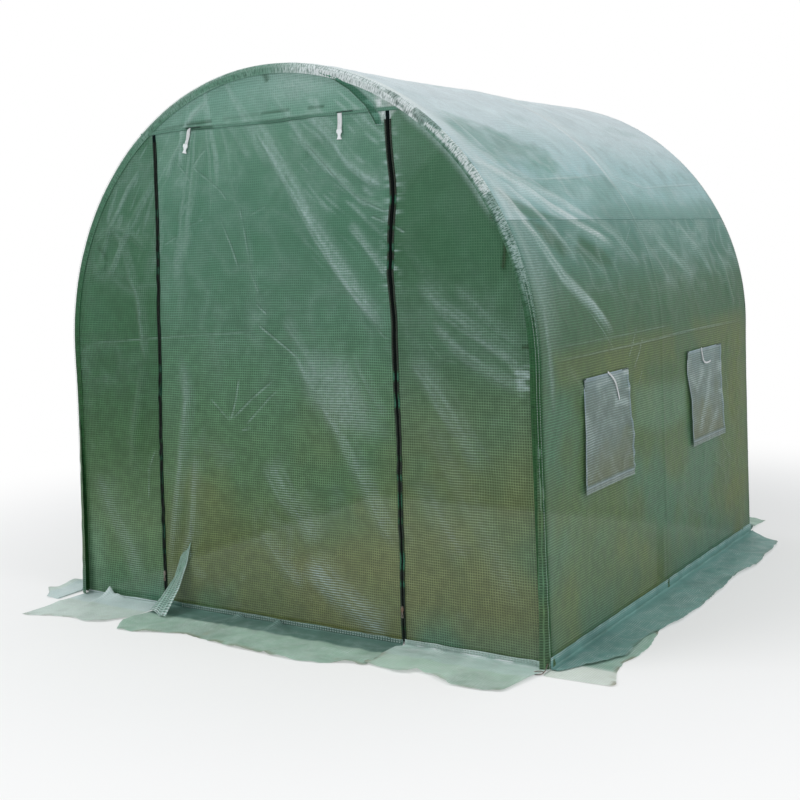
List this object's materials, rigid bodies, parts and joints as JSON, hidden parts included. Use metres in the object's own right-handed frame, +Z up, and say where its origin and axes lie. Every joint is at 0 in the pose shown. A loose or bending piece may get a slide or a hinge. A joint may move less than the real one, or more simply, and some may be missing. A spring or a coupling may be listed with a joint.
{
  "type": "polytunnel greenhouse",
  "caption": "Walk-in polytunnel: hooped steel tube frame under a grid-reinforced film cover with a zipped roll-up door, window flaps and ground skirts.",
  "frame": {"origin": "centre of the plan, on the ground under the middle hoop", "axes": "+Z up, front and its door towards -Y, ridge along Y"},
  "size_m": [2.4436, 2.6296, 1.9398],
  "materials": {
    "steel": "galvanised tube",
    "bracket": "pressed and galvanised",
    "connector": "moulded, dark",
    "film": "translucent grid-reinforced polyethylene film",
    "zip": "coil zip on woven tape",
    "zip_metal": "tarnished slider",
    "webbing": "woven polypropylene",
    "mesh": "fine insect mesh",
    "window_film": "clear grid-reinforced film"
  },
  "bodies": {
    "root": {"back_edge_seam": "film", "back_ground_rail": "steel", "back_hoop_arch": "steel", "back_hoop_legs": "steel", "back_panel": "film", "back_skirt": "film", "door_panel": "film", "door_straps": "webbing", "front_edge_seam": "film", "front_ground_rail": "steel", "front_hoop_arch": "steel", "front_hoop_legs": "steel", "front_left_panel": "film", "front_right_panel": "film", "front_skirts": "film", "front_top_panel": "film", "ground_fittings": "connector", "hoop_ties": "webbing", "left_eave_purlin": "steel", "left_ground_rail": "steel", "left_hip_purlin": "steel", "left_lower_roof": "film", "left_skirt": "film", "left_upper_roof": "film", "left_wall_sheet": "film", "left_window_flaps": "window_film", "left_window_screens": "mesh", "left_zip": "zip", "middle_hoop_arch": "steel", "middle_hoop_legs": "steel", "purlin_saddles": "bracket", "ridge_purlin": "steel", "right_eave_purlin": "steel", "right_ground_rail": "steel", "right_hip_purlin": "steel", "right_lower_roof": "film", "right_skirt": "film", "right_upper_roof": "film", "right_wall_sheet": "film", "right_window_flaps": "window_film", "right_window_screens": "mesh", "right_zip": "zip", "window_ties": "webbing", "zip_pulls": "zip_metal"}
  },
  "joints": []
}
